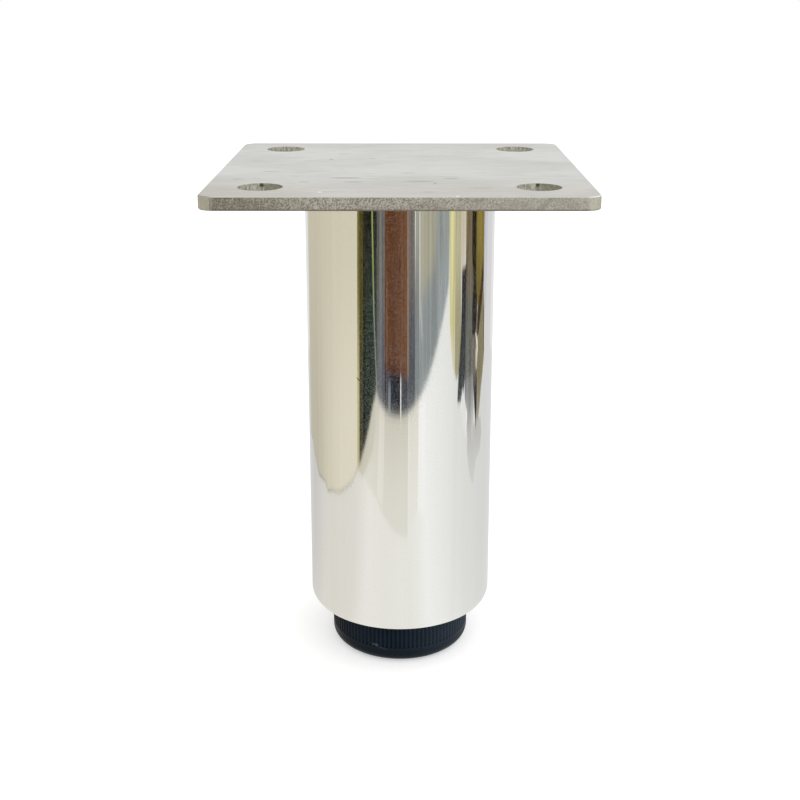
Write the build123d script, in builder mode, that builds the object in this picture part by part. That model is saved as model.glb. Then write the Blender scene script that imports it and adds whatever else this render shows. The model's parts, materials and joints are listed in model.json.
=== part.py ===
from build123d import *
import os

# A stainless steel furniture leg: a square plate on a polished tube, with a levelling foot.
# Sizes are in millimetres. +Z is up, and the origin is on the floor under the foot's middle.
# The foot is wound right in, its top face just under the tube's rim.

# Mounting plate
plate_side = 88.9
plate_thickness = 3.2
plate_corner_radius = 3.5
plate_edge_break = 0.2
bolt_spacing_x = 63.5
bolt_spacing_y = 63.5
bolt_hole_diameter = 10.4

# Tube, with its lower end rolled in to a rounded rim
tube_diameter = 48.3
tube_wall = 1.5
tube_length = 114.4
rim_inner_radius = 1.2
rim_opening_diameter = 30.0

# Weld bead between tube and plate
plate_weld_leg = 3.0

# Disc that closes the tube's end, with its tack welds and nut
disc_thickness = 4.0
disc_clearance = 0.1
disc_stud_clearance = 0.6
tack_count = 4
tack_leg = 2.0
tack_angle = 26.0
nut_across_flats = 17.0
nut_height = 8.0
nut_corner_angle = 30.0

# Stud, drawn plain at its thread's outer size
stud_diameter = 10.0
thread_clearance = 0.08
foot_travel = 20.0
stud_spare_thread = 1.5
stud_tip_chamfer = 1.2
stud_head_diameter = 18.0
stud_head_thickness = 3.0

# Foot
foot_seat_gap = 0.1
foot_diameter = 36.8
foot_height = 11.8
foot_edge_radius = 2.5
foot_recess_diameter = 25.0
foot_recess_depth = 0.8
foot_skin_under_head = 2.4
foot_moulding_clearance = 0.08
rib_count = 100
rib_groove_width = 0.75
rib_groove_depth = 0.35
rib_start_height = 4.1

# Heights above the floor
rim_bottom = foot_height + foot_seat_gap
disc_bottom = rim_bottom + tube_wall
disc_top = disc_bottom + disc_thickness
nut_top = disc_top + nut_height
plate_bottom = rim_bottom + tube_length
stud_head_bottom = foot_recess_depth + foot_skin_under_head
stud_head_top = stud_head_bottom + stud_head_thickness
stud_top = nut_top + foot_travel + stud_spare_thread

# Radii
tube_radius = tube_diameter / 2
tube_bore_radius = tube_radius - tube_wall
stud_radius = stud_diameter / 2
rim_opening_radius = rim_opening_diameter / 2
rim_flat_radius = tube_bore_radius - rim_inner_radius
disc_radius = tube_bore_radius - disc_clearance
foot_radius = foot_diameter / 2

os.makedirs("parts", exist_ok=True)

# Plate: one flat laser-cut piece with four plain holes
with BuildPart() as mounting_plate:
    with BuildSketch(Plane.XY.offset(plate_bottom)):
        RectangleRounded(plate_side, plate_side, plate_corner_radius)
        with GridLocations(bolt_spacing_x, bolt_spacing_y, 2, 2):
            Circle(bolt_hole_diameter / 2, mode=Mode.SUBTRACT)
    extrude(amount=plate_thickness)
    flat_faces = mounting_plate.faces().filter_by(Axis.Z)
    outline = [face.outer_wire().edges() for face in flat_faces]
    chamfer([edge for edges in outline for edge in edges], plate_edge_break)

# Tube: round outside where the rim is rolled in, bevelled inside, with a flat that carries the disc
with BuildPart() as leg_tube:
    with BuildSketch(Plane.XZ):
        with BuildLine():
            rim_turn_height = disc_bottom + rim_inner_radius
            rim_turn_radius = rim_inner_radius + tube_wall
            outer_turn = CenterArc(
                (rim_flat_radius, rim_turn_height),
                rim_turn_radius,
                start_angle=0,
                arc_size=-90,
            )
            Polyline(
                outer_turn @ 0,
                (tube_radius, plate_bottom),
                (tube_bore_radius, plate_bottom),
                (tube_bore_radius, rim_turn_height),
                (rim_flat_radius, disc_bottom),
                (rim_opening_radius, disc_bottom),
                (rim_opening_radius, rim_bottom),
                outer_turn @ 1,
            )
        make_face()
    revolve(axis=Axis.Z)

# Weld bead round the top of the tube, in the corner under the plate
with BuildPart() as plate_weld:
    with BuildSketch(Plane.XZ):
        with BuildLine():
            Polyline(
                (tube_radius, plate_bottom),
                (tube_radius + plate_weld_leg, plate_bottom),
                (tube_radius, plate_bottom - plate_weld_leg),
                close=True,
            )
        make_face()
    revolve(axis=Axis.Z)

# Disc: seated on the rim's flat, its lower edge bevelled to clear the rim's inner bevel
with BuildPart() as end_disc:
    with BuildSketch(Plane.XZ):
        with BuildLine():
            Polyline(
                (stud_radius + disc_stud_clearance, disc_bottom),
                (rim_flat_radius - disc_clearance, disc_bottom),
                (disc_radius, disc_bottom + rim_inner_radius + disc_clearance),
                (disc_radius, disc_top),
                (stud_radius + disc_stud_clearance, disc_top),
                close=True,
            )
        make_face()
    revolve(axis=Axis.Z)

# Tack welds: short beads in the corner between the disc and the tube's wall
with BuildPart() as disc_tacks:
    with BuildSketch(Plane.XZ):
        with BuildLine():
            Polyline(
                (tube_bore_radius - tack_leg, disc_top),
                (tube_bore_radius, disc_top),
                (tube_bore_radius, disc_top + tack_leg),
                close=True,
            )
        make_face()
    tack = revolve(axis=Axis.Z, revolution_arc=tack_angle, mode=Mode.PRIVATE)
    with PolarLocations(0, tack_count):
        add(tack)

# Weld nut: hexagon whose upper corners are turned off
with BuildPart() as weld_nut:
    with BuildSketch(Plane.XY.offset(disc_top)):
        RegularPolygon(nut_across_flats / 2, 6, major_radius=False)
        Circle(stud_radius + thread_clearance, mode=Mode.SUBTRACT)
    extrude(amount=nut_height)
    with BuildSketch(Plane.XY.offset(nut_top)):
        Circle(nut_across_flats / 2)
    extrude(amount=-nut_height, taper=-(90 - nut_corner_angle), mode=Mode.INTERSECT)

# Stud: its head is held inside the foot, and its tip is chamfered
with BuildPart() as levelling_stud:
    with BuildSketch(Plane.XY.offset(stud_head_bottom)):
        Circle(stud_head_diameter / 2)
    extrude(amount=stud_head_thickness)
    with BuildSketch(Plane.XY.offset(stud_head_top)):
        Circle(stud_radius)
    extrude(amount=stud_top - stud_head_top)
    tip = levelling_stud.faces().sort_by(Axis.Z)[-1]
    chamfer(tip.edges(), stud_tip_chamfer)

# Foot: ribs all round that stop above a plain band, a rounded edge and a shallow recess below
with BuildPart() as levelling_foot:
    with BuildSketch(Plane.XY):
        Circle(foot_radius)
    extrude(amount=rib_start_height)
    bottom_edge = levelling_foot.edges().sort_by(Axis.Z)[0]
    fillet(bottom_edge, foot_edge_radius)
    with BuildSketch(Plane.XY.offset(rib_start_height)):
        Circle(foot_radius)
        with PolarLocations(foot_radius, rib_count):
            Polygon(
                (-rib_groove_depth, 0),
                (rib_groove_depth, rib_groove_width),
                (rib_groove_depth, -rib_groove_width),
                align=None,
                mode=Mode.SUBTRACT,
            )
    extrude(amount=foot_height - rib_start_height)
    with BuildSketch(Plane.XY):
        Circle(foot_recess_diameter / 2)
    extrude(amount=foot_recess_depth, mode=Mode.SUBTRACT)
    with BuildSketch(Plane.XY.offset(stud_head_bottom - foot_moulding_clearance)):
        Circle(stud_head_diameter / 2 + foot_moulding_clearance)
    extrude(amount=stud_head_thickness + 2 * foot_moulding_clearance, mode=Mode.SUBTRACT)
    with BuildSketch(Plane.XY.offset(stud_head_top)):
        Circle(stud_radius + foot_moulding_clearance)
    extrude(amount=foot_height - stud_head_top, mode=Mode.SUBTRACT)

mounting_plate.part.label = "mounting_plate"
export_step(mounting_plate.part, "parts/mounting_plate.step")
leg_tube.part.label = "leg_tube"
export_step(leg_tube.part, "parts/leg_tube.step")
plate_weld.part.label = "plate_weld"
export_step(plate_weld.part, "parts/plate_weld.step")
end_disc.part.label = "end_disc"
export_step(end_disc.part, "parts/end_disc.step")
disc_tacks.part.label = "disc_tacks"
export_step(disc_tacks.part, "parts/disc_tacks.step")
weld_nut.part.label = "weld_nut"
export_step(weld_nut.part, "parts/weld_nut.step")
levelling_stud.part.label = "levelling_stud"
export_step(levelling_stud.part, "parts/levelling_stud.step")
levelling_foot.part.label = "levelling_foot"
export_step(levelling_foot.part, "parts/levelling_foot.step")
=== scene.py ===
import json
import math

import bpy
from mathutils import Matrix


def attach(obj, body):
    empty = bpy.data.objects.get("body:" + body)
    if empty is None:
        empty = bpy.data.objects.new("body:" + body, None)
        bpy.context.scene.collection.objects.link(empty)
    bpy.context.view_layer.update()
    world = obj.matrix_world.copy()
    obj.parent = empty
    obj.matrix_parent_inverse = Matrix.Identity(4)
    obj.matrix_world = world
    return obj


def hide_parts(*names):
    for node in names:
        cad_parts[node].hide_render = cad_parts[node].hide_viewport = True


# A polished stainless steel furniture leg on a white table.
# Sizes are in metres and angles in degrees unless a name says otherwise.
# +Z is up and the origin is on the floor under the foot's middle.

MM = 0.001

# Camera
camera_place = (0.90 * MM, -305.71 * MM, 175.38 * MM)
camera_pitch = -14.81
camera_yaw = 0.17
camera_lens = 54.76
camera_sensor = 36.0
picture_shift = -0.125

# Sizes of the leg that the finishes and the added pieces need
plate_bottom = 126.3 * MM
plate_top = 129.5 * MM
hole_offset = 31.75 * MM
hole_radius = 5.2 * MM
tube_radius = 24.15 * MM
rim_turn_height = 14.6 * MM
weld_leg = 3.0 * MM
stud_radius = 5.0 * MM
stud_head_radius = 9.0 * MM
stud_head_bottom = 3.2 * MM
stud_head_top = 6.2 * MM
stud_top = 46.9 * MM

# Thread of the stud: M10 x 1.5, right-hand, its flats as shares of the pitch
thread_pitch = 1.5 * MM
thread_root_radius = 4.08 * MM
crest_flat = 1 / 8
root_flat = 1 / 4
rows_per_turn = 14
thread_neck = 1.0 * MM
tip_chamfer = 1.2 * MM

# Specks on the plate's top face
dark_speck_radius = 0.6 * MM
white_speck_radius = 0.62 * MM
dark_specks = ((-18.0 * MM, 11.7 * MM, plate_top), (8.2 * MM, -26.3 * MM, plate_top))
white_specks = ((-17.7 * MM, -38.6 * MM, plate_top), (12.7 * MM, -43.8 * MM, plate_top))

# Scratches along X on the plate's top face, in millimetres: left end, right end, Y and darkness
scratch_half_width = 0.7 * MM
plate_scratches = (
    (-17.0, -8.6, -18.8, 1.0),
    (-23.7, -20.9, -24.6, 0.6),
    (-13.4, -8.4, -24.6, 0.6),
    (0.6, 8.4, -23.6, 0.55),
    (10.5, 14.2, -19.7, 0.6),
    (0.1, 3.9, -11.1, 0.5),
    (-33.9, -29.5, -8.5, 0.45),
    (-39.6, -36.9, -20.4, 0.5),
    (-8.4, -5.9, 13.9, 0.5),
    (-16.8, -13.1, 23.0, 0.4),
    (15.7, 21.6, -33.0, 0.35),
    (4.6, 8.1, -38.4, 0.4),
)

# Tint of the polished tube
tube_tint = (0.82, 0.82, 0.80, 1.0)

# Worn marks on the plate's front edge
worn_mark_x = 33.5 * MM

# A hair that sticks to the tube, left of its middle
hair_angle = math.radians(-114.4)
hair_height = 80.0 * MM
hair_slope = -38.0
hair_half_length = 1.0 * MM
hair_half_width = 0.17 * MM

# A scratch and a scuff on the front of the foot
foot_scratch_place = (-5.6 * MM, -17.6 * MM, 4.2 * MM)
foot_scratch_slope = -14.0
foot_scuff_place = (-6.4 * MM, -17.3 * MM, 4.6 * MM)

# White table top, and the one that the steel mirrors
table_half_side = 3.0
table_drop = 0.2 * MM
table_glow = 0.42
mirrored_table_half_side = 1.5
mirrored_table_drop = 0.1 * MM

# Light: a white room, dimmer as a light than it looks, and a wide soft sun
room_light = 0.7
sun_strength = 0.9
sun_width = 100.0
sun_tilt = (25.0, 30.0)

# Things round the leg that the steel mirrors, in millimetres
card_top = 135.0
outline_top = 120.0
card_lean = 0.07 / 135.0

# Weld bead
weld_ripple_count = 84
weld_ripple_depth = 0.14 * MM
weld_ripple_bow = 0.35
weld_bulge = 0.25 * MM


def screen_colour(red, green, blue):
    """A colour as a screen shows it, from 0 to 255, turned into light."""
    light = []
    for value in (red, green, blue):
        share = value / 255
        if share <= 0.04045:
            light.append(share / 12.92)
        else:
            light.append(((share + 0.055) / 1.055) ** 2.4)
    return (*light, 1.0)


def grey(value):
    return (value, value, value, 1.0)


def card_colour(red, green, blue):
    """The light a card gives off so that the tube mirrors it as this screen colour."""
    light = screen_colour(red, green, blue)
    return (*[light[i] / tube_tint[i] for i in range(3)], 1.0)


# Small helpers for materials, some of which serve the world's light too

def new_material(name):
    material = bpy.data.materials.new(name)
    material.use_nodes = True
    material.node_tree.nodes.clear()
    return material


def add_node(material, kind, **settings):
    node = material.node_tree.nodes.new(kind)
    for name, value in settings.items():
        setattr(node, name, value)
    return node


def put(material, socket, value):
    """Links an output to this input, or sets the input to a plain value."""
    if isinstance(value, bpy.types.NodeSocket):
        material.node_tree.links.new(value, socket)
    else:
        socket.default_value = value


def object_place(material):
    return add_node(material, "ShaderNodeTexCoord").outputs["Object"]


def place_parts(material):
    parts = add_node(material, "ShaderNodeSeparateXYZ")
    put(material, parts.inputs[0], object_place(material))
    return parts.outputs[0], parts.outputs[1], parts.outputs[2]


def normal_parts(material):
    """X, Y and Z of the direction that the bare surface faces."""
    geometry = add_node(material, "ShaderNodeNewGeometry")
    parts = add_node(material, "ShaderNodeSeparateXYZ")
    put(material, parts.inputs[0], geometry.outputs["True Normal"])
    return parts.outputs[0], parts.outputs[1], parts.outputs[2]


def joined(material, x, y, z):
    """One place from its three parts."""
    place = add_node(material, "ShaderNodeCombineXYZ")
    for socket, part in zip(place.inputs, (x, y, z)):
        put(material, socket, part)
    return place.outputs[0]


def maths(material, operation, first, second=0.0):
    node = add_node(material, "ShaderNodeMath", operation=operation)
    put(material, node.inputs[0], first)
    put(material, node.inputs[1], second)
    return node.outputs[0]


def plus(material, first, second):
    return maths(material, "ADD", first, second)


def minus(material, first, second):
    return maths(material, "SUBTRACT", first, second)


def times(material, first, second):
    return maths(material, "MULTIPLY", first, second)


def size_of(material, value):
    """The value without its sign."""
    return maths(material, "ABSOLUTE", value)


def length_of(material, first, second):
    """How far the point with these two parts lies from zero."""
    squared = plus(material, times(material, first, first), times(material, second, second))
    return maths(material, "SQRT", squared)


def ranged(material, value, low, high, to_low=0.0, to_high=1.0, easing="SMOOTHSTEP"):
    """Turns low..high into to_low..to_high, and stays there beyond them."""
    node = add_node(material, "ShaderNodeMapRange", interpolation_type=easing)
    put(material, node.inputs["Value"], value)
    node.inputs["From Min"].default_value = low
    node.inputs["From Max"].default_value = high
    node.inputs["To Min"].default_value = to_low
    node.inputs["To Max"].default_value = to_high
    return node.outputs[0]


def mixed(material, share, first, second):
    """A colour that goes from the first to the second as share goes from 0 to 1."""
    node = add_node(material, "ShaderNodeMix", data_type="RGBA")
    put(material, node.inputs["Factor"], share)
    put(material, node.inputs[6], first)
    put(material, node.inputs[7], second)
    return node.outputs[2]


def noise(material, sizes, detail=2.0, roughness=0.5, distortion=0.0, place=None):
    """Noise from 0 to 1 whose grains are about sizes long along X, Y and Z."""
    mapping = add_node(material, "ShaderNodeMapping")
    put(material, mapping.inputs["Vector"], place or object_place(material))
    mapping.inputs["Scale"].default_value = [1 / size for size in sizes]
    texture = add_node(material, "ShaderNodeTexNoise")
    put(material, texture.inputs["Vector"], mapping.outputs[0])
    texture.inputs["Scale"].default_value = 1.0
    texture.inputs["Detail"].default_value = detail
    texture.inputs["Roughness"].default_value = roughness
    texture.inputs["Distortion"].default_value = distortion
    return texture.outputs["Fac"]


def round_place(material):
    """A place as length round the tube, distance from the axis and height; also the last two."""
    x, y, z = place_parts(material)
    along = times(material, maths(material, "ARCTAN2", y, x), tube_radius)
    radius = length_of(material, x, y)
    return joined(material, along, radius, z), radius, z


def spot(material, centre, radius):
    """1 inside a round spot and 0 outside it."""
    distance = add_node(material, "ShaderNodeVectorMath", operation="DISTANCE")
    put(material, distance.inputs[0], object_place(material))
    distance.inputs[1].default_value = centre
    return ranged(material, distance.outputs["Value"], radius * 0.5, radius, 1.0, 0.0)


def short_line(material, place, centre, slope, half_length, half_width):
    """1 along a short thin line and 0 beyond it.

    The slope is the line's angle above level, seen from outside, and it lies in X and Z.
    """
    mapping = add_node(material, "ShaderNodeMapping", vector_type="TEXTURE")
    put(material, mapping.inputs["Vector"], place)
    mapping.inputs["Location"].default_value = centre
    mapping.inputs["Rotation"].default_value = (0.0, -math.radians(slope), 0.0)
    mapping.inputs["Scale"].default_value = (half_length, 1.0, half_width)
    length = add_node(material, "ShaderNodeVectorMath", operation="LENGTH")
    put(material, length.inputs[0], mapping.outputs[0])
    return ranged(material, length.outputs["Value"], 0.7, 1.2, 1.0, 0.0)


def bump(material, height, strength, distance):
    node = add_node(material, "ShaderNodeBump")
    put(material, node.inputs["Height"], height)
    node.inputs["Strength"].default_value = strength
    node.inputs["Distance"].default_value = distance
    return node.outputs[0]


def surface(material, colour, roughness, metallic, normal=None):
    shader = add_node(material, "ShaderNodeBsdfPrincipled")
    put(material, shader.inputs["Base Color"], colour)
    put(material, shader.inputs["Roughness"], roughness)
    shader.inputs["Metallic"].default_value = metallic
    if normal is not None:
        put(material, shader.inputs["Normal"], normal)
    output = add_node(material, "ShaderNodeOutputMaterial")
    put(material, output.inputs[0], shader.outputs[0])
    return shader


# Finishes of the leg

def flat_face_colour(material, fine_marks, long_marks, smudges):
    """Colour of the plate's flat faces: smudged and finely marked, with scratches, specks and
    painted shade.
    """
    x, y = place_parts(material)[:2]
    colour = mixed(
        material,
        ranged(material, smudges, 0.3, 0.7),
        screen_colour(203, 203, 199),
        screen_colour(197, 198, 193),
    )
    # Painted shade: the top is darker towards the front, the back and the front left corner
    front = ranged(material, y, -36 * MM, -12 * MM, 0.8, 0.0)
    colour = mixed(material, front, colour, screen_colour(190, 187, 177))
    back = ranged(material, y, 22 * MM, 38 * MM, 0.0, 0.5)
    colour = mixed(material, back, colour, screen_colour(191, 191, 187))
    front_left = ranged(material, plus(material, x, y), -80 * MM, -50 * MM, 0.5, 0.0)
    colour = mixed(material, front_left, colour, screen_colour(178, 174, 162))
    streak = ranged(material, long_marks, 0.56, 0.64, 0.0, 0.8)
    colour = mixed(material, streak, colour, screen_colour(176, 174, 166))
    glint = ranged(material, fine_marks, 0.58, 0.7, 0.0, 0.5)
    colour = mixed(material, glint, colour, screen_colour(220, 220, 216))

    lying_place = joined(material, x, 0.0, y)
    for left, right, depth, darkness in plate_scratches:
        centre = ((left + right) / 2 * MM, 0.0, depth * MM)
        half_length = (right - left) / 2 * MM
        scratch = short_line(material, lying_place, centre, 0.0, half_length, scratch_half_width)
        scratch = times(material, scratch, darkness)
        colour = mixed(material, scratch, colour, screen_colour(132, 130, 122))
    for centre in dark_specks:
        speck = spot(material, centre, dark_speck_radius)
        colour = mixed(material, speck, colour, screen_colour(110, 107, 100))
    for centre in white_specks:
        speck = spot(material, centre, white_speck_radius)
        colour = mixed(material, speck, colour, screen_colour(244, 244, 240))
    return colour


def cut_edge_colour(material, lean, cut_marks, mottle):
    """Colour of the laser-cut edges: mottled, with painted shade at the left end, painted light at
    the right end and on the rounded corners, and a painted highlight and shade along the top bevel.
    """
    x, y, z = place_parts(material)
    normal_x, _, normal_z = normal_parts(material)
    colour = mixed(
        material,
        ranged(material, mottle, 0.42, 0.58),
        screen_colour(132, 127, 110),
        screen_colour(194, 191, 178),
    )
    marks = ranged(material, cut_marks, 0.48, 0.7, 0.0, 0.6)
    colour = mixed(material, marks, colour, screen_colour(204, 201, 190))
    patches = noise(material, (6 * MM, 6 * MM, 2.5 * MM), detail=3.0)
    dirt = ranged(material, patches, 0.48, 0.68, 0.0, 0.4)
    colour = mixed(material, dirt, colour, screen_colour(126, 117, 98))

    from_worn_mark = size_of(material, minus(material, minus(material, x, lean), worn_mark_x))
    worn = ranged(material, from_worn_mark, 0.6 * MM, 0.9 * MM, 0.5, 0.0)
    worn = times(material, worn, maths(material, "LESS_THAN", y, 0.0))
    colour = mixed(material, worn, colour, screen_colour(112, 108, 98))
    # Painted light towards the right end and painted shade towards the left end
    painted_edge_light = ranged(material, x, -5 * MM, 30 * MM, 0.0, 0.4)
    colour = mixed(material, painted_edge_light, colour, screen_colour(184, 181, 170))
    painted_edge_shade = ranged(material, x, -42 * MM, -12 * MM, 0.62, 0.0)
    colour = mixed(material, painted_edge_shade, colour, screen_colour(104, 96, 74))
    more_at_left = ranged(material, x, -42 * MM, 0.0, 0.7, 0.1)
    fleck = times(material, ranged(material, mottle, 0.6, 0.66), more_at_left)
    colour = mixed(material, fleck, colour, screen_colour(212, 208, 194))

    burr = ranged(material, z, plate_bottom + 0.1 * MM, plate_bottom + 0.6 * MM, 0.85, 0.0)
    colour = mixed(material, burr, colour, screen_colour(104, 92, 82))
    # Painted light on the rounded corners, set by the way they face
    painted_corner_light = ranged(material, size_of(material, normal_x), 0.02, 0.15, 0.0, 0.48)
    colour = mixed(material, painted_corner_light, colour, screen_colour(210, 206, 190))
    # Painted highlight on the top bevel where it faces right, painted shade where it faces left
    is_bevel = ranged(material, size_of(material, normal_z), 0.4, 0.6)
    near_top = ranged(material, minus(material, z, plate_top), -0.6 * MM, -0.3 * MM)
    painted_bevel_light_and_shade = mixed(
        material,
        ranged(material, normal_x, -0.3, 0.3),
        screen_colour(158, 156, 146),
        screen_colour(238, 238, 234),
    )
    return mixed(material, times(material, is_bevel, near_top), colour, painted_bevel_light_and_shade)


def with_hole_walls(material, edge_colour):
    """The edges' colour with the holes' walls, the front two with painted shade on their right
    walls and the notch where the cut began.
    """
    x, y, z = place_parts(material)
    from_hole_x = minus(material, size_of(material, x), hole_offset)
    from_hole_y = minus(material, size_of(material, y), hole_offset)
    from_hole = length_of(material, from_hole_x, from_hole_y)
    in_hole = ranged(material, from_hole, hole_radius * 1.02, hole_radius * 1.08, 1.0, 0.0)
    marks = noise(material, (0.4 * MM, 0.4 * MM, 0.9 * MM), detail=3.0, roughness=0.7)
    wall_colour = mixed(
        material,
        ranged(material, marks, 0.36, 0.64),
        screen_colour(150, 146, 130),
        screen_colour(206, 205, 193),
    )
    is_front = maths(material, "LESS_THAN", y, 0.0)
    # Painted shade on the right walls of the front holes
    painted_wall_shade = ranged(material, normal_parts(material)[0], -0.25, 0.1, 0.55, 0.0)
    painted_wall_shade = times(material, painted_wall_shade, is_front)
    wall_colour = mixed(material, painted_wall_shade, wall_colour, screen_colour(122, 119, 98))
    colour = mixed(material, in_hole, edge_colour, wall_colour)

    beside_notch = size_of(material, minus(material, from_hole_x, 0.2 * MM))
    behind_middle = maths(material, "GREATER_THAN", y, -hole_offset)
    notched_wall = times(material, in_hole, times(material, behind_middle, is_front))
    notch = times(material, maths(material, "LESS_THAN", beside_notch, 0.42 * MM), notched_wall)
    near_top = ranged(material, minus(material, z, plate_top), -1.0 * MM, -0.6 * MM)
    notch = times(material, notch, near_top)
    colour = mixed(material, notch, colour, screen_colour(62, 52, 42))
    stain = times(material, maths(material, "LESS_THAN", beside_notch, 0.3 * MM), notched_wall)
    return mixed(material, times(material, stain, 0.5), colour, screen_colour(112, 92, 78))


def make_plate_steel():
    """Mill-finished sheet with fine marks along X and laser-cut edges."""
    material = new_material("plate_steel")
    x, y, z = place_parts(material)
    is_flat = ranged(material, size_of(material, normal_parts(material)[2]), 0.75, 0.95)
    fine_marks = noise(material, (6 * MM, 0.3 * MM, 1 * MM), detail=3.0)
    long_marks = noise(material, (9 * MM, 0.8 * MM, 1 * MM), detail=3.0, roughness=0.6)
    smudges = noise(material, (26 * MM, 17 * MM, 10 * MM), detail=3.0, distortion=0.4)
    flat_colour = flat_face_colour(material, fine_marks, long_marks, smudges)

    # The marks of the cut lean more towards the right
    slope = ranged(material, x, -10 * MM, 30 * MM, 0.3, 1.1)
    lean = times(material, minus(material, z, plate_top), slope)
    leaning_place = joined(material, minus(material, x, lean), minus(material, y, lean), z)
    cut_marks = noise(material, (0.55 * MM, 0.55 * MM, 9 * MM), detail=3.0, place=leaning_place)
    mottle = noise(material, (0.42 * MM, 0.42 * MM, 0.42 * MM), detail=3.0, roughness=0.75)
    cut_colour = cut_edge_colour(material, lean, cut_marks, mottle)
    cut_colour = with_hole_walls(material, cut_colour)

    colour = mixed(material, is_flat, cut_colour, flat_colour)
    flat_roughness = ranged(material, smudges, 0.3, 0.7, 0.3, 0.4)
    roughness = mixed(material, is_flat, grey(0.55), flat_roughness)
    cut_height = plus(material, cut_marks, times(material, mottle, 0.6))
    flat_height = plus(material, fine_marks, times(material, long_marks, 0.5))
    height = mixed(material, is_flat, cut_height, times(material, flat_height, 0.1))
    shader = surface(material, colour, roughness, 1.0, bump(material, height, 0.35, 0.12 * MM))
    put(material, shader.inputs["Metallic"], mixed(material, is_flat, grey(0.35), grey(1.0)))
    return material


def make_polished_steel():
    """Mirror-polished tube with fine lines round it, so that mirrored edges blur upwards."""
    material = new_material("polished_steel")
    place, radius, z = round_place(material)
    fine_lines = noise(material, (3.2 * MM, 9 * MM, 0.09 * MM), detail=3.0, place=place)
    grain = noise(material, (0.34 * MM, 9 * MM, 0.2 * MM), detail=2.0, roughness=0.7, place=place)
    waves = noise(material, (3.4 * MM, 60 * MM, 900 * MM), detail=3.0, place=place)
    patches = noise(material, (16 * MM, 60 * MM, 24 * MM), detail=2.0, place=place)
    brightness = ranged(material, waves, 0.3, 0.7, 0.975, 1.01)
    colour = mixed(material, brightness, grey(0.0), tube_tint)
    inside = ranged(material, radius, tube_radius - 1.0 * MM, tube_radius - 0.4 * MM, 1.0, 0.0)
    bore = times(material, inside, maths(material, "GREATER_THAN", z, rim_turn_height))
    colour = mixed(material, bore, colour, screen_colour(168, 164, 154))
    hair_place = (hair_angle * tube_radius, tube_radius, hair_height)
    hair = short_line(material, place, hair_place, hair_slope, hair_half_length, hair_half_width)
    colour = mixed(material, hair, colour, screen_colour(104, 90, 52))
    polish = plus(
        material,
        ranged(material, grain, 0.4, 0.8, 0.035, 0.075),
        ranged(material, patches, 0.3, 0.7, 0.0, 0.01),
    )
    roughness = mixed(material, bore, polish, grey(0.42))
    height = plus(material, fine_lines, times(material, grain, 0.5))
    shader = surface(material, colour, roughness, 1.0, bump(material, height, 0.2, 0.004 * MM))
    metal = ranged(material, grain, 0.46, 0.62, 1.0, 0.9)
    beside_hair = minus(material, 1.0, times(material, hair, 0.85))
    put(material, shader.inputs["Metallic"], times(material, metal, beside_hair))
    shader.inputs["Anisotropic"].default_value = 0.9
    shader.inputs["Anisotropic Rotation"].default_value = 0.25
    tangent = add_node(material, "ShaderNodeTangent", direction_type="RADIAL", axis="Z")
    put(material, shader.inputs["Tangent"], tangent.outputs[0])
    return material


def make_weld_metal():
    """Brushed weld beads with a trace of heat colour."""
    material = new_material("weld_metal")
    grain = noise(material, (0.4 * MM, 0.4 * MM, 0.4 * MM), detail=3.0)
    tint = noise(material, (9 * MM, 4 * MM, 3 * MM), detail=2.0, place=round_place(material)[0])
    colour = mixed(
        material,
        ranged(material, tint, 0.35, 0.65),
        screen_colour(196, 190, 178),
        screen_colour(158, 144, 122),
    )
    dark_grain = ranged(material, grain, 0.5, 0.75, 0.0, 0.4)
    colour = mixed(material, dark_grain, colour, screen_colour(120, 112, 102))
    roughness = ranged(material, grain, 0.3, 0.7, 0.32, 0.5)
    surface(material, colour, roughness, 1.0, bump(material, grain, 0.3, 0.1 * MM))
    return material


def make_plain_steel():
    """Plain turned steel with fine rings from the tool."""
    material = new_material("plain_steel")
    place = round_place(material)[0]
    rings = noise(material, (30 * MM, 0.16 * MM, 0.16 * MM), detail=2.0, place=place)
    stains = noise(material, (6 * MM, 6 * MM, 6 * MM), detail=3.0)
    colour = mixed(
        material,
        ranged(material, stains, 0.35, 0.65),
        screen_colour(200, 199, 195),
        screen_colour(170, 167, 160),
    )
    roughness = ranged(material, rings, 0.3, 0.7, 0.26, 0.4)
    surface(material, colour, roughness, 1.0, bump(material, rings, 0.2, 0.05 * MM))
    return material


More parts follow.
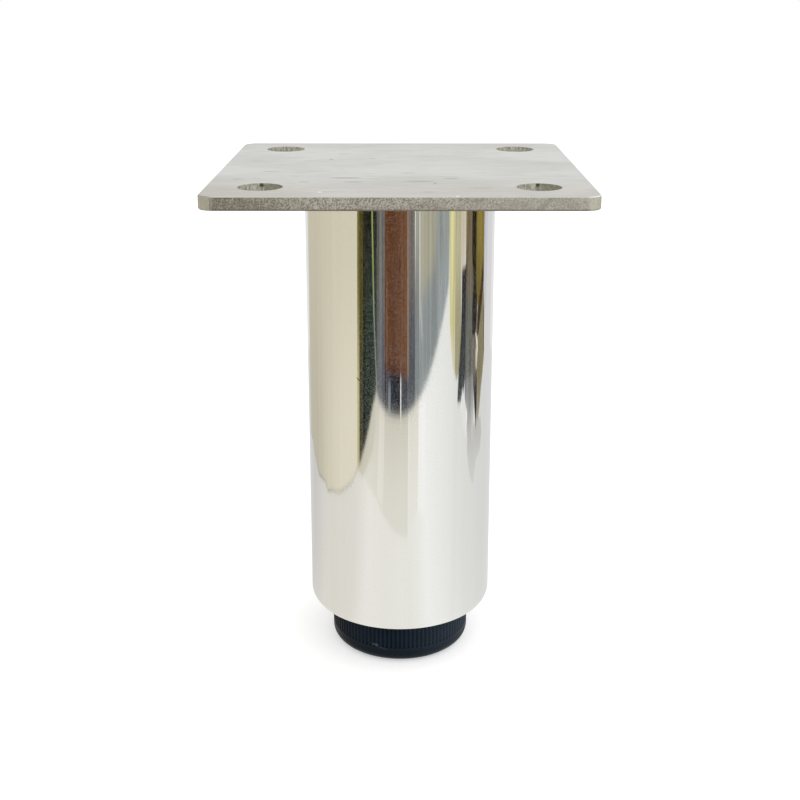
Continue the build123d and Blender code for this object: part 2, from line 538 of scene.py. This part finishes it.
def make_black_plastic():
    """Satin black moulding with a faint blue cast, a little dust, a scratch, a pale scuff, painted
    light on the right and painted shade low down and at the left.
    """
    material = new_material("black_plastic")
    x, _, z = place_parts(material)
    cloud = noise(material, (7 * MM, 7 * MM, 5 * MM), detail=3.0)
    grain = noise(material, (0.25 * MM, 0.25 * MM, 0.25 * MM), detail=3.0)
    colour = mixed(
        material,
        ranged(material, cloud, 0.35, 0.65),
        screen_colour(16, 30, 39),
        screen_colour(24, 33, 46),
    )
    dust = ranged(material, grain, 0.62, 0.8, 0.0, 0.25)
    colour = mixed(material, dust, colour, screen_colour(74, 80, 92))
    place = object_place(material)
    scratch = short_line(
        material, place, foot_scratch_place, foot_scratch_slope, 2.6 * MM, 0.2 * MM
    )
    scratch = times(material, scratch, 0.25)
    colour = mixed(material, scratch, colour, screen_colour(96, 104, 114))
    scuff = short_line(material, place, foot_scuff_place, 0.0, 0.8 * MM, 0.35 * MM)
    scuff = times(material, scuff, 0.4)
    colour = mixed(material, scuff, colour, screen_colour(110, 116, 124))
    # Painted light: lighter towards the right side
    painted_side_light = ranged(material, x, -2 * MM, 17 * MM, 0.0, 0.55)
    colour = mixed(material, painted_side_light, colour, screen_colour(58, 68, 80))
    # Painted shade on the plain band low down and on the left side
    painted_low_shade = ranged(material, z, 3.0 * MM, 4.6 * MM, 0.45, 0.0)
    left_side = ranged(material, x, -17 * MM, -11 * MM, 0.5, 0.0)
    painted_low_and_left_shade = maths(material, "MAXIMUM", painted_low_shade, left_side)
    colour = mixed(material, painted_low_and_left_shade, colour, screen_colour(8, 16, 22))
    roughness = ranged(material, cloud, 0.3, 0.7, 0.36, 0.5)
    shader = surface(material, colour, roughness, 0.0, bump(material, grain, 0.15, 0.05 * MM))
    shader.inputs["Specular IOR Level"].default_value = 0.08
    return material


# Pieces added to the solids

def new_mesh(name, points, faces, material, smooth=True):
    mesh = bpy.data.meshes.new(name)
    mesh.from_pydata(points, [], faces)
    mesh.validate()
    for polygon in mesh.polygons:
        polygon.use_smooth = smooth
    mesh.materials.append(material)
    piece = bpy.data.objects.new(name, mesh)
    bpy.context.scene.collection.objects.link(piece)
    return piece


def turned_mesh(name, rings, material):
    """A closed solid from rings of points, first ring to last, with a flat end at each."""
    count = len(rings[0])
    points = [point for ring in rings for point in ring]
    faces = []
    for row in range(len(rings) - 1):
        for step in range(count):
            after = (step + 1) % count
            faces.append((
                row * count + step,
                row * count + after,
                (row + 1) * count + after,
                (row + 1) * count + step,
            ))
    faces.append(tuple(reversed(range(count))))
    last = (len(rings) - 1) * count
    faces.append(tuple(last + step for step in range(count)))
    return new_mesh(name, points, faces, material)


def thread_radius(height, turn):
    """Radius of the 60 degree thread at a height, after a share of a turn."""
    phase = (height / thread_pitch - turn) % 1.0
    from_crest = min(phase, 1.0 - phase)
    flank_start = crest_flat / 2
    flank_end = (1 - root_flat) / 2
    fall = (from_crest - flank_start) / (flank_end - flank_start)
    fall = min(1.0, max(0.0, fall))
    return stud_radius - fall * (stud_radius - thread_root_radius)


def make_threaded_stud(material):
    """The stud with its real thread and the knurled head that the foot is moulded round."""
    around = 72
    knurl_depth = 0.35 * MM

    def ring(height, radius_at):
        points = []
        for step in range(around):
            turn = step / around
            radius = radius_at(height, turn, step)
            angle = turn * 2 * math.pi
            points.append((radius * math.cos(angle), radius * math.sin(angle), height))
        return points

    def knurled(height, turn, step):
        return stud_head_radius - (knurl_depth if step % 2 else 0.0)

    def neck(height, turn, step):
        return thread_root_radius

    def threaded(height, turn, step):
        limit = stud_radius - max(0.0, height - (stud_top - tip_chamfer))
        return min(thread_radius(height, turn), limit)

    rings = [
        ring(stud_head_bottom, knurled),
        ring(stud_head_top, knurled),
        ring(stud_head_top, neck),
    ]
    first_thread = stud_head_top + thread_neck
    row_count = round((stud_top - first_thread) / (thread_pitch / rows_per_turn))
    rings.append(ring(first_thread, neck))
    for row in range(row_count + 1):
        height = first_thread + (stud_top - first_thread) * row / row_count
        rings.append(ring(height, threaded))
    stud = turned_mesh("threaded_stud", rings, material)
    for polygon in stud.data.polygons:
        heights = [stud.data.vertices[index].co.z for index in polygon.vertices]
        polygon.use_smooth = min(heights) > stud_head_top and len(polygon.vertices) == 4
    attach(stud, "screw")
    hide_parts("levelling_stud")
    return stud


def make_plate_bead(material):
    """The weld bead under the plate, with the ripples of its run."""
    around = 720
    across = 8
    profiles = []
    for step in range(around):
        angle = step / around * 2 * math.pi
        profile = [(tube_radius, plate_bottom)]
        for index in range(across + 1):
            share = index / across
            arch = math.sin(math.pi * share)
            run = step / around * weld_ripple_count + weld_ripple_bow * arch
            ripple = weld_ripple_depth * (run % 1.0) * arch
            out = weld_bulge * arch - ripple
            radius = tube_radius + weld_leg * (1 - share) + out * math.sqrt(0.5)
            height = plate_bottom - weld_leg * share - out * math.sqrt(0.5)
            radius = min(radius, tube_radius + weld_leg)
            height = max(height, plate_bottom - weld_leg)
            profile.append((radius, height))
        profiles.append([(r * math.cos(angle), r * math.sin(angle), h) for r, h in profile])
    count = len(profiles[0])
    points = [point for profile in profiles for point in profile]
    faces = []
    for step in range(around):
        after = (step + 1) % around
        for index in range(count):
            beyond = (index + 1) % count
            faces.append((
                step * count + index,
                step * count + beyond,
                after * count + beyond,
                after * count + index,
            ))
    bead = new_mesh("plate_bead", points, faces, material)
    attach(bead, "leg")
    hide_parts("plate_weld")
    return bead


# Surroundings: the table, and glowing cards seen only in reflections, as painted reflections of a
# room

def level_square(half_side, height):
    """Corners of a level square round the leg's axis."""
    return [
        (-half_side, -half_side, height),
        (half_side, -half_side, height),
        (half_side, half_side, height),
        (-half_side, half_side, height),
    ]


def one_face(name, corners, material):
    """A mesh with one flat face."""
    return new_mesh(name, corners, [tuple(range(len(corners)))], material)


def make_floor():
    """A white table top, seen from above only, that keeps the leg's soft shadow.

    It goes down with the screw and the foot.
    """
    material = new_material("white_table")
    diffuse = add_node(material, "ShaderNodeBsdfDiffuse")
    diffuse.inputs["Color"].default_value = grey(0.9)
    glow = add_node(material, "ShaderNodeEmission")
    glow.inputs["Color"].default_value = grey(1.0)
    path = add_node(material, "ShaderNodeLightPath")
    seen = times(material, path.outputs["Is Camera Ray"], table_glow)
    put(material, glow.inputs["Strength"], seen)
    both = add_node(material, "ShaderNodeAddShader")
    put(material, both.inputs[0], diffuse.outputs[0])
    put(material, both.inputs[1], glow.outputs[0])
    clear = add_node(material, "ShaderNodeBsdfTransparent")
    one_sided = add_node(material, "ShaderNodeMixShader")
    geometry = add_node(material, "ShaderNodeNewGeometry")
    put(material, one_sided.inputs[0], geometry.outputs["Backfacing"])
    put(material, one_sided.inputs[1], both.outputs[0])
    put(material, one_sided.inputs[2], clear.outputs[0])
    output = add_node(material, "ShaderNodeOutputMaterial")
    put(material, output.inputs[0], one_sided.outputs[0])
    floor = one_face("table_top", level_square(table_half_side, -table_drop), material)
    floor.visible_glossy = False
    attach(floor, "screw")


def only_for_mirrors(card):
    """The card shows in glossy surfaces alone, casts no shadow, and goes down with the table."""
    card.visible_camera = False
    card.visible_diffuse = False
    card.visible_shadow = False
    card.visible_transmission = False
    card.visible_volume_scatter = False
    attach(card, "screw")


def glowing(material, colour, strength=1.0):
    glow = add_node(material, "ShaderNodeEmission")
    put(material, glow.inputs["Color"], colour)
    put(material, glow.inputs["Strength"], strength)
    output = add_node(material, "ShaderNodeOutputMaterial")
    put(material, output.inputs[0], glow.outputs[0])


def leaned(place, share):
    """A point turned about the leg towards the camera's side, to share of its angle from there."""
    angle = math.atan2(place[0], -place[1]) * share
    distance = math.hypot(*place)
    return distance * math.sin(angle), -distance * math.cos(angle)


def upright_card(
    name, first, last, low, high, change=(15.0, 60.0), streaks=0.12, height=card_top, lean=card_lean
):
    """A card that stands on the table between two points, in millimetres, for the steel to mirror.

    Its colour goes from low to high between the two heights of change, in fine upright streaks.
    Its sides lean towards the front by this share of their angle for each millimetre of height,
    as the edges of distant things do in an upright tube.
    """
    material = new_material(name)
    share = ranged(material, place_parts(material)[2], change[0] * MM, change[1] * MM)
    colour = mixed(material, share, card_colour(*low), card_colour(*high))
    fine_streaks = noise(material, (11 * MM, 11 * MM, 900 * MM), detail=3.0, roughness=0.65)
    glowing(material, colour, ranged(material, fine_streaks, 0.3, 0.7, 1 - streaks, 1 + streaks))
    share_at_top = 1 - lean * height
    first_top = leaned(first, share_at_top)
    last_top = leaned(last, share_at_top)
    corners = [
        (first[0] * MM, first[1] * MM, 0.0),
        (last[0] * MM, last[1] * MM, 0.0),
        (last_top[0] * MM, last_top[1] * MM, height * MM),
        (first_top[0] * MM, first_top[1] * MM, height * MM),
    ]
    only_for_mirrors(one_face(name, corners, material))


def flat_card(name, corners, near, far, height=0.05):
    """A patch that lies on the table in front of the leg, from its near colour to its far one."""
    material = new_material(name)
    share = ranged(material, place_parts(material)[1], -215 * MM, -115 * MM)
    glowing(material, mixed(material, share, card_colour(*far), card_colour(*near)))
    points = [(x * MM, y * MM, height * MM) for x, y in corners]
    only_for_mirrors(one_face(name, points, material))


def mirrored_shape(
    name, corners, low, high, change=(40.0, 70.0), streaks=0.15, distance=125.0, top=()
):
    """A shape that hangs round the leg, for the steel to mirror.

    Its corners are pairs of an angle in degrees from the front and a height in millimetres.
    Above the outline it goes straight up between the two angles of top, where these are given.
    """
    if top:
        left, right = top
        left_side = ((left, outline_top), (left, card_top))
        right_side = ((right, card_top), (right, outline_top))
        corners = (*left_side, *right_side, *corners)
    material = new_material(name)
    share = ranged(material, place_parts(material)[2], change[0] * MM, change[1] * MM)
    colour = mixed(material, share, card_colour(*low), card_colour(*high))
    fine_streaks = noise(material, (4 * MM, 4 * MM, 60 * MM), detail=3.0, roughness=0.65)
    glowing(material, colour, ranged(material, fine_streaks, 0.35, 0.65, 1 - streaks, 1 + streaks))
    points = []
    for degrees, height in corners:
        angle = math.radians(degrees)
        x = distance * math.sin(angle)
        y = -distance * math.cos(angle)
        points.append((x * MM, y * MM, height * MM))
    only_for_mirrors(one_face(name, points, material))


def make_mirrored_table():
    """The table top as the steel mirrors it: brightest at the front right, greyer at the sides.

    Its stops are angles in degrees from the front and the colours shown there.
    """
    material = new_material("mirrored_table")
    x, y = place_parts(material)[:2]
    angle = maths(material, "ARCTAN2", x, times(material, y, -1.0))
    ramp = add_node(material, "ShaderNodeValToRGB")
    share = ranged(material, angle, -math.pi, math.pi, easing="LINEAR")
    put(material, ramp.inputs[0], share)
    stops = (
        (-180, (206, 209, 206)),
        (-128, (197, 196, 192)),
        (-92, (215, 212, 203)),
        (-52, (218, 215, 206)),
        (-36, (230, 227, 220)),
        (10, (229, 228, 221)),
        (30, (237, 238, 233)),
        (75, (219, 220, 215)),
        (110, (212, 213, 210)),
        (147, (206, 207, 206)),
        (180, (206, 209, 206)),
    )
    elements = ramp.color_ramp.elements
    while len(elements) < len(stops):
        elements.new(0.5)
    for element, (degrees, shown) in zip(elements, stops):
        element.position = (degrees + 180) / 360
        element.color = card_colour(*shown)
    glowing(material, ramp.outputs[0])
    corners = level_square(mirrored_table_half_side, -mirrored_table_drop)
    only_for_mirrors(one_face("mirrored_table", corners, material))


def make_table_patches():
    """Slightly darker and lighter patches on the table in front of the leg."""
    beige_outline = (
        (-119, -106), (-93, -114), (-73, -118), (-61, -119), (-48, -116), (-26, -112),
        (-10, -107), (15, -104), (37, -219), (-61, -216), (-112, -222), (-119, -205),
    )
    flat_card("beige_patch", beige_outline, (219, 217, 205), (206, 203, 188))
    column_outline = ((-95, -215), (-68, -216), (-42, -119), (-60, -122))
    flat_card("light_column", column_outline, (226, 223, 212), (221, 217, 203), height=0.1)
    pale_outline = ((22, -112), (42, -117), (88, -220), (44, -219))
    flat_card("pale_patch", pale_outline, (229, 227, 218), (222, 219, 206))
    corner_outline = ((-119, -101), (-104, -108), (-93, -150), (-97, -185), (-119, -200))
    flat_card("beige_corner", corner_outline, (202, 197, 179), (204, 200, 183), height=0.1)
    bright_outline = ((42, -117), (58, -106), (103, -180), (128, -222), (88, -220))
    flat_card("bright_column", bright_outline, (239, 239, 235), (243, 242, 238), height=0.1)


def between(first, second, share):
    """A colour or point that is this share of the way from the first to the second."""
    return tuple(a + (b - a) * share for a, b in zip(first, second))


def make_cream_side():
    """The cream panel beyond the table's left edge, with a painted shadow along its uneven foot."""
    feet = (
        (-95, 139), (-112, 114), (-120, 82), (-120, 57), (-127, 36), (-129, 25),
        (-124, 10), (-127, -8), (-125, -35), (-122, -67), (-119.5, -80), (-121, -100.8),
    )
    set_back = 1.015
    for index in range(len(feet) - 1):
        share = min(1.0, max(0.0, (index - 2) / 6))
        low = between((186, 180, 161), (218, 212, 191), share)
        high = between((196, 188, 167), (206, 199, 177), share)
        first, last = feet[index], feet[index + 1]
        first_behind = between((0, 0), first, set_back)
        last_behind = between((0, 0), last, set_back)
        name = "cream_panel_%d" % index
        upright_card(name, first_behind, last_behind, low, high, (15.0, 100.0), streaks=0.01)
        # A thin dark card along the panel's foot: a painted shadow
        gap_shadow_colour = between((96, 92, 70), (126, 120, 92), share)
        upright_card("cream_gap_shadow_%d" % index, first, last, gap_shadow_colour, gap_shadow_colour, height=0.6)


def make_dark_left():
    """Olive, black and green things beyond the front part of the table's left edge."""
    low_down = (20.0, 70.0)
    upright_card(
        "yellow_edge", (-119, -99.2), (-119, -108.5), (172, 167, 118), (104, 96, 44), (25.0, 75.0)
    )
    upright_card(
        "olive_strip",
        (-119, -108.5),
        (-119, -127),
        (66, 62, 44),
        (76, 68, 12),
        low_down,
        streaks=0.2,
    )
    upright_card(
        "black_strip", (-119, -127), (-119, -142), (22, 26, 22), (26, 24, 4), low_down, streaks=0.3
    )
    half_way = (45.0, 90.0)
    upright_card(
        "dark_green_strip",
        (-119, -142),
        (-119.5, -192),
        (32, 46, 34),
        (10, 11, 1),
        half_way,
        streaks=0.3,
    )
    upright_card(
        "black_line", (-119.5, -192), (-112.5, -222), (48, 54, 48), (8, 8, 0), half_way, streaks=0.3
    )
    line_corners = ((-32.0, 100), (-30.4, 100), (-28.9, 50), (-25.6, 14), (-26.7, 14), (-30.1, 50))
    mirrored_shape(
        "light_green_line", line_corners, (130, 138, 128), (158, 172, 96), distance=200.0
    )


def make_brown_front():
    """Grey and brown things beyond the left half of the table's front edge."""
    upright_card(
        "grey_corner", (-112.5, -222), (-94, -213.8), (90, 93, 92), (84, 82, 74), streaks=0.25
    )
    upright_card(
        "grey_strip", (-94, -213.8), (-68, -214.6), (92, 94, 100), (108, 107, 104), streaks=0.3
    )
    upright_card(
        "brown_left", (-68, -214.6), (-30, -217), (36, 42, 54), (90, 54, 28), (17, 20), streaks=0.25
    )
    upright_card(
        "brown_middle", (-30, -217), (6, -218), (18, 24, 36), (94, 59, 36), (17, 20), streaks=0.25
    )
    upright_card(
        "brown_right", (6, -218), (32, -219), (56, 62, 70), (104, 70, 46), (15, 18), streaks=0.25
    )
    upright_card("brown_edge", (32, -219), (39, -219), (86, 88, 92), (146, 114, 90), (14, 18))


def make_grey_front():
    """Slate, pale, beige and blue-grey things beyond the right half of the table's front edge."""
    upright_card(
        "slate_strip", (39, -219), (69, -221), (78, 82, 88), (112, 105, 100), (25, 70), streaks=0.25
    )
    upright_card(
        "first_pale_line", (69, -221), (75, -221), (122, 128, 128), (206, 206, 195), (40, 85)
    )
    upright_card(
        "grey_between_lines",
        (75, -221),
        (90, -221),
        (122, 128, 128),
        (156, 156, 145),
        (40, 85),
        streaks=0.2,
    )
    upright_card("second_pale_line", (90, -221), (98, -220), (134, 140, 140), (192, 192, 178))
    upright_card(
        "beige_grey",
        (98, -220),
        (211, -226),
        (134, 141, 140),
        (162, 159, 139),
        (34, 54),
        streaks=0.2,
    )
    upright_card(
        "blue_grey", (211, -226), (379, -223), (144, 150, 150), (144, 149, 144), streaks=0.25
    )
    upright_card(
        "blue_grey_end", (379, -223), (520, -300), (146, 152, 150), (140, 146, 140), streaks=0.25
    )


def make_front_lines():
    """Thin upright lines in front of the brown and grey things."""
    upright_card(
        "white_line", (1.8, -216.5), (5.8, -216.5), (234, 233, 228), (234, 233, 228), height=17.0
    )
    upright_card(
        "grey_column",
        (-51, -213),
        (-40, -213),
        (124, 132, 136),
        (104, 110, 116),
        (8, 15),
        height=15.0,
    )
    upright_card(
        "light_brown_line", (-58, -213), (-56, -213), (120, 100, 90), (150, 118, 98), height=56.0
    )
    dark_line_corners = ((-1.1, 71), (0.1, 71), (-0.2, 61), (-0.8, 61))
    mirrored_shape("dark_line", dark_line_corners, (52, 30, 20), (52, 30, 20), distance=200.0)
    low_line_corners = ((0.3, 49), (1.4, 49), (1.2, 39), (0.6, 39))
    mirrored_shape("low_dark_line", low_line_corners, (62, 40, 30), (62, 40, 30), distance=200.0)
    grey_line_corners = ((22.4, 54), (24.0, 54), (26.3, 38), (24.5, 38))
    mirrored_shape("grey_line", grey_line_corners, (172, 176, 174), (160, 163, 160), distance=200.0)


def make_yellow_streaks():
    """Yellow and khaki streaks at the right, each with an outline of its own."""
    yellow_corners = ((63.6, 66), (64.2, 46), (61.5, 49), (59.0, 56), (57.2, 64), (56.2, 75))
    mirrored_shape(
        "yellow",
        yellow_corners,
        (206, 202, 172),
        (196, 190, 142),
        change=(50, 66),
        top=(54.6, 63.2),
    )
    bright_yellow_corners = ((61.4, 61), (58.6, 61))
    mirrored_shape(
        "bright_yellow",
        bright_yellow_corners,
        (204, 194, 132),
        (208, 202, 146),
        change=(66, 92),
        distance=124.0,
        top=(56.6, 61.6),
    )
    khaki_corners = ((72.4, 58), (69.8, 46), (66.5, 44), (64.2, 47))
    mirrored_shape(
        "khaki", khaki_corners, (156, 150, 118), (182, 176, 144), change=(62, 92), top=(62.8, 71.2)
    )


def make_metal_streaks():
    """Grey, white and dark streaks right of the yellow ones."""
    upper_metal_corners = ((92.0, 74), (94.5, 44), (79.0, 43), (78.5, 76))
    mirrored_shape(
        "upper_metal",
        upper_metal_corners,
        (98, 100, 92),
        (112, 98, 72),
        change=(62, 90),
        streaks=0.35,
        top=(78.0, 89.5),
    )
    lower_metal_corners = ((79.0, 44), (94.5, 44), (95.0, 32), (94.0, 18), (86.0, 19), (80.5, 31))
    mirrored_shape(
        "lower_metal",
        lower_metal_corners,
        (190, 188, 184),
        (128, 129, 127),
        change=(20, 42),
        streaks=0.25,
    )
    white_corners = ((77.8, 86), (75.7, 81), (72.8, 81), (71.6, 89))
    mirrored_shape(
        "white",
        white_corners,
        (204, 196, 180),
        (196, 186, 166),
        change=(80, 96),
        streaks=0.08,
        top=(71.0, 78.6),
    )
    dark_corners = (
        (72.8, 82), (79.8, 84), (79.0, 76), (79.4, 44), (77.6, 39), (73.6, 36),
        (68.3, 36), (69.4, 45), (72.3, 59), (72.9, 72),
    )
    mirrored_shape(
        "dark",
        dark_corners,
        (54, 58, 60),
        (36, 28, 32),
        change=(45, 75),
        streaks=0.4,
        distance=124.0,
    )
    white_wedge_corners = ((76.0, 41), (80.0, 36), (84.0, 31), (82.0, 21), (77.5, 28), (72.5, 35))
    mirrored_shape(
        "white_wedge", white_wedge_corners, (236, 235, 231), (232, 231, 227), distance=123.0
    )


def make_umber_streaks():
    """Dark brown streaks over the grey ones, and two bright slivers."""
    upper_umber_corners = (
        (96.4, 76), (99.5, 68), (98.6, 58), (90.5, 57), (90.0, 69), (91.6, 77),
        (88.4, 86),
    )
    mirrored_shape(
        "upper_umber",
        upper_umber_corners,
        (34, 28, 18),
        (38, 27, 8),
        change=(66, 90),
        streaks=0.4,
        distance=124.0,
        top=(86.8, 94.8),
    )
    lower_umber_corners = (
        (90.0, 58), (99.5, 59), (101.0, 44), (101.4, 32), (100.8, 23), (97.5, 30),
        (94.5, 39),
    )
    mirrored_shape(
        "lower_umber",
        lower_umber_corners,
        (44, 42, 45),
        (106, 99, 88),
        change=(36, 48),
        streaks=0.3,
        distance=123.0,
    )
    sliver_corners = ((96.4, 59), (98.0, 59), (102.2, 52), (100.4, 52))
    mirrored_shape("sliver", sliver_corners, (242, 238, 218), (242, 238, 218), distance=122.0)
    lower_sliver_corners = ((97.5, 53), (99.5, 53), (99.7, 46), (98.2, 46))
    mirrored_shape(
        "lower_sliver", lower_sliver_corners, (240, 235, 216), (240, 235, 216), distance=122.0
    )


def make_gold_streaks():
    """Gold, brown, tan and lilac streaks at the far right, and the grey shade below them all."""
    gold_corners = ((113.0, 79), (108.4, 75), (105.0, 71), (101.0, 66), (96.2, 74))
    mirrored_shape(
        "gold",
        gold_corners,
        (108, 94, 40),
        (130, 115, 48),
        change=(70, 95),
        streaks=0.2,
        top=(94.8, 111.4),
    )
    inner_corners = ((116.5, 60), (115.5, 50), (113.2, 62))
    mirrored_shape(
        "lilac_inner", inner_corners, (190, 189, 194), (186, 185, 191), top=(111.4, 116.5)
    )
    outer_corners = ((121.0, 72), (116.5, 60))
    mirrored_shape(
        "lilac_outer", outer_corners, (205, 204, 209), (199, 198, 204), top=(116.5, 121.0)
    )
    wedge_corners = (
        (111.6, 84), (107.4, 77), (103.6, 71), (99.6, 66), (99.0, 56), (103.0, 58),
        (109.0, 68), (112.8, 76),
    )
    mirrored_shape("brown_wedge", wedge_corners, (44, 28, 12), (60, 42, 14), distance=123.0)
    tan_corners = (
        (113.4, 79), (115.0, 67), (116.2, 58), (117.2, 48), (114.0, 42), (111.0, 37),
        (108.9, 32), (106.1, 27), (103.5, 22), (100.9, 30), (100.9, 42), (101.7, 56),
        (108.7, 68), (111.6, 79),
    )
    mirrored_shape(
        "tan",
        tan_corners,
        (158, 154, 140),
        (130, 122, 92),
        change=(24, 42),
        streaks=0.12,
        top=(111.0, 112.4),
    )
    tan_edge_corners = ((112.6, 67), (114.9, 67), (117.0, 50), (114.8, 50))
    mirrored_shape("tan_edge", tan_edge_corners, (84, 76, 50), (84, 76, 50), distance=122.0)
    tail_corners = (
        (84.1, 26), (93.1, 25), (111.0, 26), (114.0, 19), (110.5, 13), (103.0, 11),
        (99.6, 7), (97.0, 2), (91.0, 5), (87.9, 9), (84.8, 16),
    )
    mirrored_shape(
        "tail",
        tail_corners,
        (202, 202, 198),
        (189, 188, 183),
        change=(6, 24),
        streaks=0.03,
        distance=126.0,
    )


def make_back_panels():
    """Panels far behind the leg."""
    upright_card(
        "back_left_panel", (-170, 240), (-62, 250), (214, 218, 214), (212, 217, 212), lean=0.0
    )
    upright_card(
        "back_middle_panel", (-62, 250), (62, 250), (110, 110, 108), (128, 128, 126), lean=0.0
    )
    upright_card(
        "back_right_panel", (62, 250), (170, 240), (222, 222, 220), (218, 220, 218), lean=0.0
    )


def make_light():
    """A white room that looks brighter than it lights, and a wide soft sun."""
    world = bpy.data.worlds.new("studio")
    bpy.context.scene.world = world
    world.use_nodes = True
    world.node_tree.nodes.clear()
    path = add_node(world, "ShaderNodeLightPath")
    mirrored = maths(
        world,
        "MAXIMUM",
        path.outputs["Is Glossy Ray"],
        path.outputs["Is Transmission Ray"],
    )
    seen = maths(world, "MAXIMUM", path.outputs["Is Camera Ray"], mirrored)
    background = add_node(world, "ShaderNodeBackground")
    background.inputs["Color"].default_value = grey(1.0)
    strength = ranged(world, seen, 0.0, 1.0, room_light, 1.0, easing="LINEAR")
    put(world, background.inputs["Strength"], strength)
    output = add_node(world, "ShaderNodeOutputWorld")
    put(world, output.inputs[0], background.outputs[0])

    lamp = bpy.data.lights.new("soft_sky_light", "SUN")
    lamp.energy = sun_strength
    lamp.angle = math.radians(sun_width)
    sky_light = bpy.data.objects.new("soft_sky_light", lamp)
    bpy.context.scene.collection.objects.link(sky_light)
    sky_light.rotation_euler = (math.radians(sun_tilt[0]), math.radians(sun_tilt[1]), 0.0)
    sky_light.visible_glossy = False


def make_camera():
    data = bpy.data.cameras.new("camera")
    data.sensor_width = camera_sensor
    data.lens = camera_lens
    data.shift_y = picture_shift
    data.clip_start = 0.01
    data.clip_end = 20.0
    camera = bpy.data.objects.new("camera", data)
    bpy.context.scene.collection.objects.link(camera)
    camera.location = camera_place
    camera.rotation_euler = (math.radians(90 + camera_pitch), 0.0, math.radians(camera_yaw))
    bpy.context.scene.camera = camera


# The scene

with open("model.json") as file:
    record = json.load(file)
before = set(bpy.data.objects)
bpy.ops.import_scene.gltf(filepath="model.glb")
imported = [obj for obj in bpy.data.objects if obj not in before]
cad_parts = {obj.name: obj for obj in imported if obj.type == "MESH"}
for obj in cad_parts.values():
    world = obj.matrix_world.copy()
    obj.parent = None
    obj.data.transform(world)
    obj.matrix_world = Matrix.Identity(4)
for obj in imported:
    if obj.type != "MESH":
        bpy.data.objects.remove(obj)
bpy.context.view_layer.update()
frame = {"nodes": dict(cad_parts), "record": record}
nodes = frame["nodes"]

finishes = {
    "plate_steel": make_plate_steel(),
    "polished_steel": make_polished_steel(),
    "weld_metal": make_weld_metal(),
    "plain_steel": make_plain_steel(),
    "black_plastic": make_black_plastic(),
}
for part in frame["record"]["subparts"]:
    node = nodes[part["node"]]
    node.data.materials.clear()
    node.data.materials.append(finishes[part["material_slot"]])

make_threaded_stud(finishes["plain_steel"])
make_plate_bead(finishes["weld_metal"])
make_floor()
make_mirrored_table()
make_table_patches()
make_cream_side()
make_dark_left()
make_brown_front()
make_grey_front()
make_front_lines()
make_yellow_streaks()
make_metal_streaks()
make_umber_streaks()
make_gold_streaks()
make_back_panels()
make_light()
make_camera()
bpy.context.scene.view_settings.view_transform = "Standard"

bpy.context.view_layer.update()
